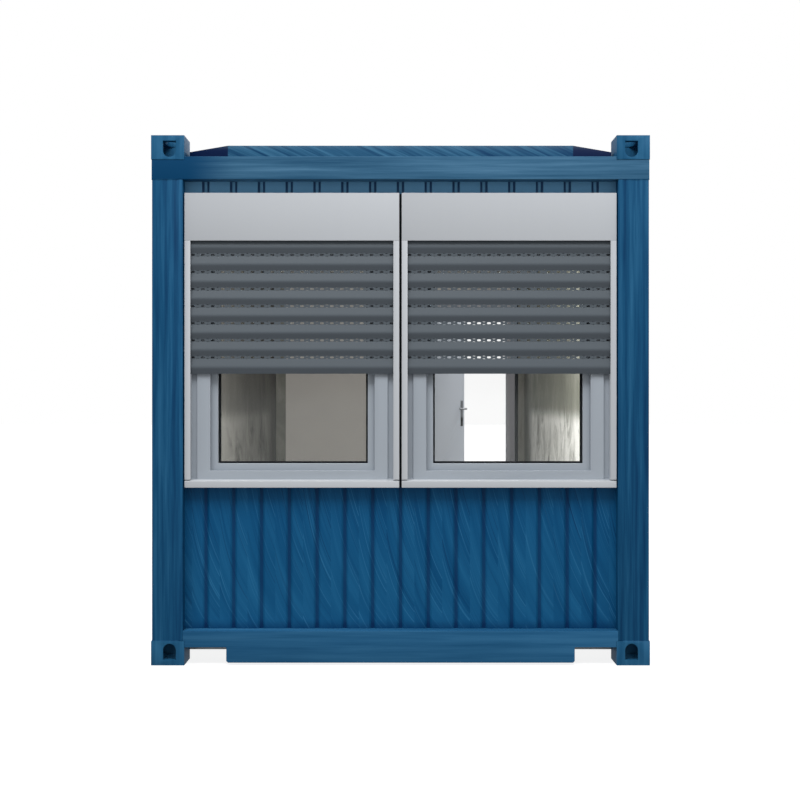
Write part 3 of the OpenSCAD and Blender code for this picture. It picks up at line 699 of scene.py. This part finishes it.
def slottedWeb(y0, y1, z0, z1, x):  # each cell is a ring of quads from a slot's outline to the cell's border, front and back
    count = int(round((y1 - y0) / slats["holePitch"]))
    cell = (y1 - y0) / count
    n = slats["holeSides"]
    angle = (np.arange(n) + 0.5) / n * 2 * math.pi
    r = slats["holeHeight"] / 2
    straight = (slats["holeWidth"] - slats["holeHeight"]) / 2
    slot = np.stack([np.sign(np.cos(angle)) * straight + r * np.cos(angle), r * np.sin(angle)], 1)
    scale = 1 / np.maximum(abs(np.cos(angle)), abs(np.sin(angle)))
    border = np.stack([np.cos(angle), np.sin(angle)], 1) * scale[:, None] * [cell / 2, (z1 - z0) / 2]
    flat = np.stack([slot, border])
    centre = y0 + (np.arange(count) + 0.5) * cell
    layers = np.array([x, x - slats["wall"]])
    shape = (count, 2, 2, n)
    points = np.stack([
        np.broadcast_to(layers[None, :, None, None], shape),
        np.broadcast_to(flat[None, None, :, :, 0], shape) + centre[:, None, None, None],
        np.broadcast_to(flat[None, None, :, :, 1], shape) + (z0 + z1) / 2,
    ], -1)
    start = (np.arange(count) * 4 * n)[:, None, None]
    a, b = np.arange(n), (np.arange(n) + 1) % n
    bands = []
    for first, second in ((0, 1), (2, 3), (0, 2), (1, 3)):  # front, back, slot wall, rim
        bands.append(np.stack([first * n + a, first * n + b, second * n + b, second * n + a], 1))
    quads = np.concatenate(bands)[None] + start
    return points, quads.reshape(-1, 4)


for side in ("left", "right"):
    low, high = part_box(side + "_shutter_curtain")
    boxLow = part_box(side + "_shutter_box")[0].z
    back = low.x + slats["wall"]
    skins, webs = [], []
    top = boxLow + slats["hidden"]
    barTop = low.z + slats["barHeight"]
    while top > barTop + 0.02:
        skins.append(slatSkin(low.y, high.y, top, back))
        webTop = top - slats["pitch"] + slats["web"]
        webs.append(slottedWeb(low.y + 0.006, high.y - 0.006, webTop - slats["web"], webTop, back))
        top -= slats["pitch"]
    span = slats["pitch"] - slats["web"]
    barShape = slatSkin(low.y, high.y, top, back)
    squeeze = np.array([1, 1, (top - low.z) / span])
    barShape = (barShape[0] * squeeze + [0, 0, top - top * squeeze[2]], barShape[1])
    mesh = meshOf(side + "_slats", skins + webs + [barShape], 40)
    addPiece(side + "_slats", mesh, slatGrey, "building", (side + "_shutter_curtain",))
print("shutters hung")

# door and its fittings
soften("door_frame", jambGrey, 0.002, 3)
soften("door_leaf", doorGrey, 0.003, 3)
soften("door_lock_plates", lockMetal, 0.001, 2)
for name in ("door_hinge_pins", "door_hinge_knuckles"):
    soften(name, fittingMetal, 0.0008, 2)
dress("door_lever", leverMetal)
sealShape = {"width": 0.031, "stand": 0.009, "sunk": 0.002}
boardLow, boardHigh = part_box("corner_linings")


def uprightBead(y, z0, z1, x, width, stand, count=12):  # half an ellipse standing on a wall, carried straight up
    angle = np.linspace(0, math.pi, count)
    out = np.stack([x + stand * np.sin(angle), y - width / 2 * np.cos(angle)], 1)
    grid = np.stack([np.column_stack([out, np.full(count, z)]) for z in (z0, z1)])
    lid = np.arange(count)[None, :]
    return [(grid, gridFaces(2, count, False, True)), (grid[0], lid), (grid[1], lid)]


sealParts = uprightBead(doorBox[1].y + sealShape["width"] / 2, boardLow.z, boardHigh.z,
                        doorBox[1].x - sealShape["sunk"], sealShape["width"], sealShape["stand"])
addPiece("door_joint_seal", meshOf("door_joint_seal", sealParts, 32, 1e-5), sealBlack, "building")
print("door finished")

# studio: pale floor, bright surround, a high soft key and a fill inside the room
studio = {"floor": 60, "key": 560, "rearKey": 420, "fill": 120, "skyLow": 0.22, "skyHigh": 0.8}
reach = studio["floor"]
plane = bpy.data.meshes.new("floor")
corners = [(-reach, -reach, -0.001), (reach, -reach, -0.001), (reach, reach, -0.001), (-reach, reach, -0.001)]
plane.from_pydata(corners, [], [(0, 1, 2, 3)])
floor = bpy.data.objects.new("floor", plane)
scene.collection.objects.link(floor)
floor.visible_diffuse = False
floor.visible_glossy = False
paper = Look("paper", Roughness=0.9, Specular_IOR_Level=0.05, Emission_Color=(1, 1, 1, 1), Emission_Strength=0.85)
paper.put(Base_Color=paper.mix(paper.noise((1, 1, 1)), tone(160, 160, 160), tone(166, 166, 166)))
plane.materials.append(paper.material)

world = bpy.data.worlds.new("surround")
world.use_nodes = True
scene.world = world
sky = Nodes(world.node_tree)
height = sky.split(sky.add("ShaderNodeTexCoord", {}, {}, "Generated"))[2]
glow = {"Value": height, "From Min": -1, "From Max": 1, "To Min": studio["skyLow"], "To Max": studio["skyHigh"]}
strength = sky.add("ShaderNodeMapRange", {}, glow)
seen = sky.add("ShaderNodeLightPath", {}, {}, "Is Camera Ray")
strength = strength * (1 - seen) + seen
background = world.node_tree.nodes["Background"]
background.inputs["Color"].default_value = (1, 1, 1, 1)
world.node_tree.links.new(strength.socket, background.inputs["Strength"])


def softLamp(name, energy, size, place, aim):
    lamp = bpy.data.lights.new(name, "AREA")
    lamp.energy = energy
    lamp.shape = "RECTANGLE"
    lamp.size, lamp.size_y = size
    holder = bpy.data.objects.new(name, lamp)
    holder.location = place
    direction = np.subtract(aim, place)
    yaw = math.atan2(direction[1], direction[0])
    pitch = math.atan2(-direction[2], math.hypot(direction[0], direction[1]))
    holder.rotation_euler = (math.radians(90) - pitch, 0, yaw - math.radians(90))
    holder.visible_camera = False
    scene.collection.objects.link(holder)


softLamp("key", studio["key"], (7, 4), (front + 4.6, -0.8, 8.4), (front, 0, 1.2))
softLamp("rear_key", studio["rearKey"], (5, 4), (-front - 5, 4.5, 7.5), (-front, 0.5, 1.2))
softLamp("room_fill", studio["fill"], (1.9, 0.7), (2.3, 0, 1.95), (-2.8, 0, 1.35))
scene.view_settings.view_transform = "Standard"
print("studio lit")
